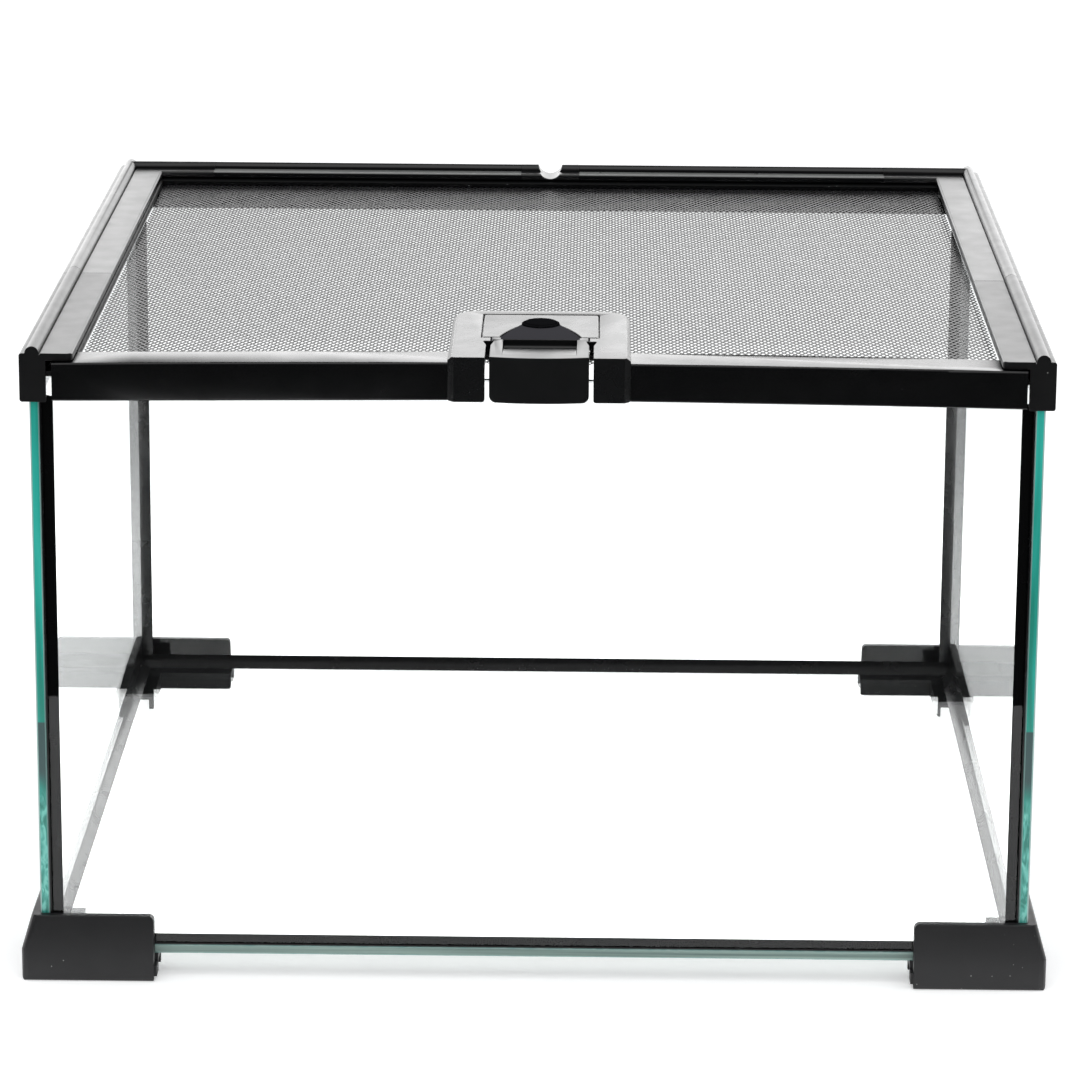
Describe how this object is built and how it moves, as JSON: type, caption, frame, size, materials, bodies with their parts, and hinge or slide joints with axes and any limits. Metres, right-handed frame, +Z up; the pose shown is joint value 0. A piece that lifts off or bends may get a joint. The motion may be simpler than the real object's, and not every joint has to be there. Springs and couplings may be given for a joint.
{
  "type": "reptile terrarium",
  "caption": "Low square glass reptile terrarium with black corner feet, a black top frame and a mesh lid that slides out to the front behind a pivoting thumb latch.",
  "frame": {"origin": "centre of the footprint, on the surface that the feet stand on", "axes": "+Z up, +X to the right seen from the front, +Y to the back"},
  "size_m": [0.3112, 0.3112, 0.1988],
  "materials": {
    "glass": "clear float glass, teal at the edges",
    "silicone": "tooled silicone",
    "foot_plastic": "fine moulded grain",
    "frame_plastic": "satin moulded",
    "rear_plastic": "extruded, glossy",
    "lid_plastic": "satin extruded",
    "key_plastic": "moulded",
    "mesh": "matt black coating",
    "latch_plastic": "satin moulded",
    "tongue_plastic": "satin moulded"
  },
  "bodies": {
    "tank": {"bottom_glass": "glass", "front_glass": "glass", "rear_glass": "glass", "left_glass": "glass", "right_glass": "glass", "corner_seal_front_left": "silicone", "corner_seal_front_right": "silicone", "corner_seal_rear_left": "silicone", "corner_seal_rear_right": "silicone", "base_seal_front": "silicone", "base_seal_rear": "silicone", "base_seal_left": "silicone", "base_seal_right": "silicone", "foot_front_left": "foot_plastic", "foot_front_right": "foot_plastic", "foot_rear_left": "foot_plastic", "foot_rear_right": "foot_plastic", "side_rail_left_front": "frame_plastic", "side_rail_right_front": "frame_plastic", "rear_rail_centre": "frame_plastic", "corner_rail_left": "frame_plastic", "corner_rail_right": "frame_plastic", "rear_rail_left": "rear_plastic", "rear_rail_right": "rear_plastic"},
    "lid": {"lid_bar_front_left": "lid_plastic", "lid_bar_front_right": "lid_plastic", "lid_bar_left": "lid_plastic", "lid_bar_right": "lid_plastic", "lid_bar_rear": "lid_plastic", "lid_key_front_left": "key_plastic", "lid_key_front_right": "key_plastic", "lid_key_rear_left": "key_plastic", "lid_key_rear_right": "key_plastic", "lid_mesh": "mesh", "mesh_retainer": "lid_plastic", "latch_housing": "latch_plastic", "latch_cover": "latch_plastic"},
    "latch": {"latch_tongue": "tongue_plastic"}
  },
  "joints": [
    {"name": "lid_slide", "type": "slide", "parent": "tank", "child": "lid", "axis": [0, -1, 0], "range_m": [0, 0.275]},
    {"name": "latch_hinge", "type": "hinge", "parent": "lid", "child": "latch", "pos_m": [0.0006, -0.1284, 0.1932], "axis": [-1, 0, 0], "range_deg": [0, 7], "stiffness_Nm_per_rad": 0.28, "springref_deg": -2.86}
  ]
}
